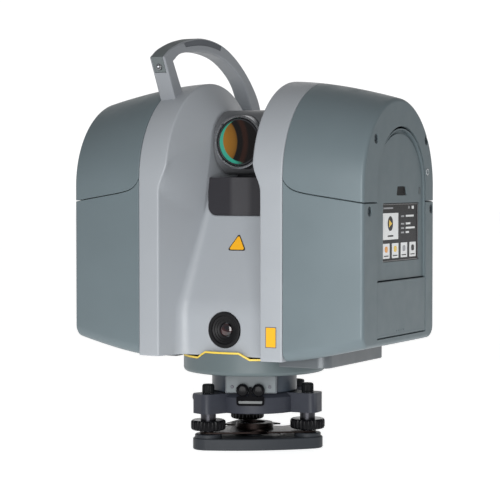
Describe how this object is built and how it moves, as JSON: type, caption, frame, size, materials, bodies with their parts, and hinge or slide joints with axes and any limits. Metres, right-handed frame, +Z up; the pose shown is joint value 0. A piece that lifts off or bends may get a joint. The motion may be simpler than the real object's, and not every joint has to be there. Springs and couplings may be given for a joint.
{
  "type": "terrestrial laser scanner",
  "caption": "Twin-tower rotating laser scanner with a spinning 45-degree mirror between its towers, a carrying handle, a touch display and a levelling tribrach base.",
  "frame": {"origin": "on the vertical rotation axis, at the underside of the tribrach's base plate where it sits on a tripod head", "axes": "+Z up along the vertical axis, -Y towards the camera side of the instrument, +X towards the tower that carries the display, along the mirror's axis"},
  "size_m": [0.3354, 0.2417, 0.4321],
  "materials": {
    "light_housing": "light grey satin paint with a fine texture",
    "slate_cover": "slate grey satin paint with a fine texture",
    "base_paint": "grey-green satin paint",
    "dark_chassis": "dark blue-grey satin paint",
    "tribrach_black": "black satin anodised",
    "black_plastic": "black moulded plastic",
    "gloss_black": "black gloss",
    "screen_glass": null,
    "yellow_trim": "yellow satin",
    "grip": "dark grey-green matt grip",
    "steel": "turned steel",
    "bronze": "browned spring steel and bronze",
    "optic_glass": "coated optical glass with amber and green reflections",
    "mirror_coat": "polished coated mirror",
    "circuit": "green circuit board",
    "light_white": "white translucent plastic",
    "vial": "yellow-green level liquid under glass",
    "electronics": "dark module housing"
  },
  "bodies": {
    "tribrach": {"tribrach_base_plate": "tribrach_black", "tribrach_spring_plate": "bronze", "tribrach_top_plate": "tribrach_black", "foot_screw_cap_1": "black_plastic", "foot_screw_cap_2": "black_plastic", "foot_screw_cap_3": "black_plastic", "level_housing": "tribrach_black", "level_vial": "vial", "base_neck": "dark_chassis", "connector_plate": "light_housing", "connector_1": "steel", "connector_2": "steel", "cap_strap": "black_plastic", "azimuth_bearing": "steel"},
    "foot_screw_1": {"foot_screw_1": "black_plastic"},
    "foot_screw_2": {"foot_screw_2": "black_plastic"},
    "foot_screw_3": {"foot_screw_3": "black_plastic"},
    "clamp_knob": {"tribrach_clamp_knob": "black_plastic"},
    "connector_cap_1": {"connector_cap_1": "black_plastic"},
    "connector_cap_2": {"connector_cap_2": "black_plastic"},
    "alidade": {"azimuth_spindle": "steel", "azimuth_encoder": "optic_glass", "azimuth_motor": "electronics", "base_disc": "base_paint", "trim_ring": "yellow_trim", "chassis": "dark_chassis", "main_housing": "light_housing", "left_upper_cover": "slate_cover", "left_lower_cover": "slate_cover", "right_upper_cover": "slate_cover", "right_lower_cover": "slate_cover", "camera_bezel": "gloss_black", "camera_lens": "optic_glass", "camera_body": "electronics", "mirror_trough": "gloss_black", "handle_frame": "light_housing", "handle_grip": "grip", "handle_screw": "steel", "side_panel": "slate_cover", "display_bezel": "black_plastic", "display_screen": "screen_glass", "status_light": "light_white", "door_hinge_pin": "steel", "battery_pack": "electronics", "main_board": "circuit", "drive_board": "circuit", "mirror_bearing": "steel", "mirror_motor": "electronics", "laser_module": "electronics", "laser_lens": "optic_glass"},
    "power_button": {"power_button": "light_white"},
    "panel_latch": {"panel_latch": "black_plastic"},
    "battery_door": {"battery_door": "slate_cover"},
    "mirror": {"mirror_drum": "tribrach_black", "window_ring": "steel", "window_glass": "optic_glass", "scan_mirror": "mirror_coat", "mirror_mount": "tribrach_black", "mirror_shaft": "steel", "encoder_disc": "optic_glass"}
  },
  "joints": [
    {"name": "alidade_rotation", "type": "hinge", "parent": "tribrach", "child": "alidade", "pos_m": [0, 0, 0.09], "axis": [0, 0, 1], "continuous": true},
    {"name": "mirror_rotation", "type": "hinge", "parent": "alidade", "child": "mirror", "pos_m": [0, 0, 0.32], "axis": [1, 0, 0], "continuous": true},
    {"name": "foot_screw_1_turn", "type": "hinge", "parent": "tribrach", "child": "foot_screw_1", "pos_m": [-0.02557, -0.05483, 0.025], "axis": [0, 0, 1], "range_deg": [-720, 720]},
    {"name": "foot_screw_2_turn", "type": "hinge", "parent": "tribrach", "child": "foot_screw_2", "pos_m": [0.06027, 0.00527, 0.025], "axis": [0, 0, 1], "range_deg": [-720, 720]},
    {"name": "foot_screw_3_turn", "type": "hinge", "parent": "tribrach", "child": "foot_screw_3", "pos_m": [-0.0347, 0.04956, 0.025], "axis": [0, 0, 1], "range_deg": [-720, 720]},
    {"name": "clamp_knob_turn", "type": "hinge", "parent": "tribrach", "child": "clamp_knob", "pos_m": [-0.05479, -0.00479, 0.0475], "axis": [-0.9962, -0.0872, 0], "range_deg": [0, 150]},
    {"name": "connector_cap_1_pull", "type": "slide", "parent": "tribrach", "child": "connector_cap_1", "axis": [0.3907, -0.9205, 0], "range_m": [0, 0.012]},
    {"name": "connector_cap_2_pull", "type": "slide", "parent": "tribrach", "child": "connector_cap_2", "axis": [0.3907, -0.9205, 0], "range_m": [0, 0.012]},
    {"name": "power_button_press", "type": "slide", "parent": "alidade", "child": "power_button", "axis": [-1, 0, 0], "range_m": [0, 0.0012], "stiffness_N_per_m": 500},
    {"name": "panel_latch_press", "type": "slide", "parent": "alidade", "child": "panel_latch", "axis": [-1, 0, 0], "range_m": [0, 0.0015], "stiffness_N_per_m": 500},
    {"name": "battery_door_hinge", "type": "hinge", "parent": "alidade", "child": "battery_door", "pos_m": [0.1645, 0.005, 0.1244], "axis": [0, 1, 0], "range_deg": [0, 90]}
  ]
}
